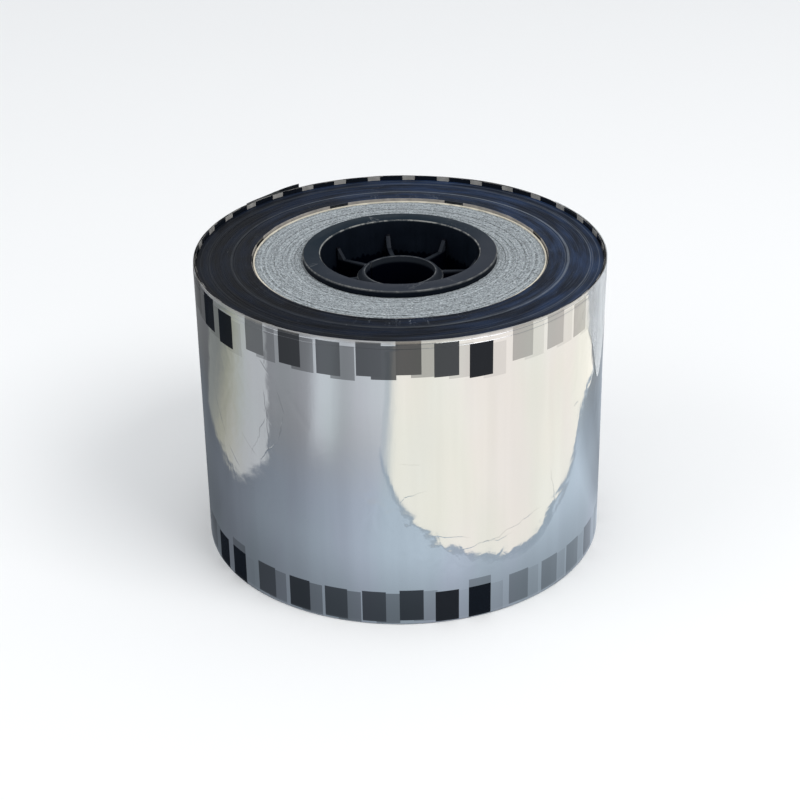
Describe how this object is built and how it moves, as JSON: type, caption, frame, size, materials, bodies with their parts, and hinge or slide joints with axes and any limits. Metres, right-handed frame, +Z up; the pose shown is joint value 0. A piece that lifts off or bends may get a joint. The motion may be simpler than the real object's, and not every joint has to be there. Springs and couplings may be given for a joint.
{
  "type": "sealing film roll",
  "caption": "Roll of clear lidding film with register marks along both edges, wound on a thick board core with a flanged plastic shaft plug in each end.",
  "frame": {"origin": "centre of the face that the roll stands on, on its axis", "axes": "+Z up along the roll's axis; -Y is the side opposite the film's free end's quarter; +X to its right"},
  "size_m": [0.1764, 0.1764, 0.1332],
  "materials": {
    "film_winding": "edges of wound clear film, very dark, semi-gloss",
    "film_outer": "clear glossy film with black register marks",
    "film_inner": "clear glossy film with black register marks",
    "start_tape": "clear packing tape, gloss",
    "core_liner": "smooth kraft liner, matte",
    "core_board": "grey board, matte, sawn end",
    "core_cover": "cream paper, matte",
    "plug": "black moulded plastic, satin"
  },
  "bodies": {
    "roll": {"film_wound_web": "film_winding", "film_outer_turns": "film_outer", "film_first_turns": "film_inner", "film_start_tape": "start_tape", "core_inner_liner": "core_liner", "core_board_ply_01": "core_board", "core_board_ply_02": "core_board", "core_board_ply_03": "core_board", "core_board_ply_04": "core_board", "core_board_ply_05": "core_board", "core_board_ply_06": "core_board", "core_board_ply_07": "core_board", "core_board_ply_08": "core_board", "core_board_ply_09": "core_board", "core_board_ply_10": "core_board", "core_board_ply_11": "core_board", "core_board_ply_12": "core_board", "core_board_ply_13": "core_board", "core_board_ply_14": "core_board", "core_board_ply_15": "core_board", "core_board_ply_16": "core_board", "core_board_ply_17": "core_board", "core_board_ply_18": "core_board", "core_board_ply_19": "core_board", "core_board_ply_20": "core_board", "core_board_ply_21": "core_board", "core_board_ply_22": "core_board", "core_cover_ply": "core_cover"},
    "upper_plug": {"upper_core_plug": "plug"},
    "lower_plug": {"lower_core_plug": "plug"},
    "tail": {"film_tail": "film_outer"}
  },
  "joints": [
    {"name": "upper_plug_pull", "type": "slide", "parent": "roll", "child": "upper_plug", "axis": [0, 0, 1], "range_m": [0, 0.04]},
    {"name": "lower_plug_pull", "type": "slide", "parent": "roll", "child": "lower_plug", "axis": [0, 0, -1], "range_m": [0, 0.04]},
    {"name": "tail_peel", "type": "hinge", "parent": "roll", "child": "tail", "pos_m": [-0.06934, 0.05515, 0.0682], "axis": [0, 0, 1], "range_deg": [0, 75]}
  ]
}
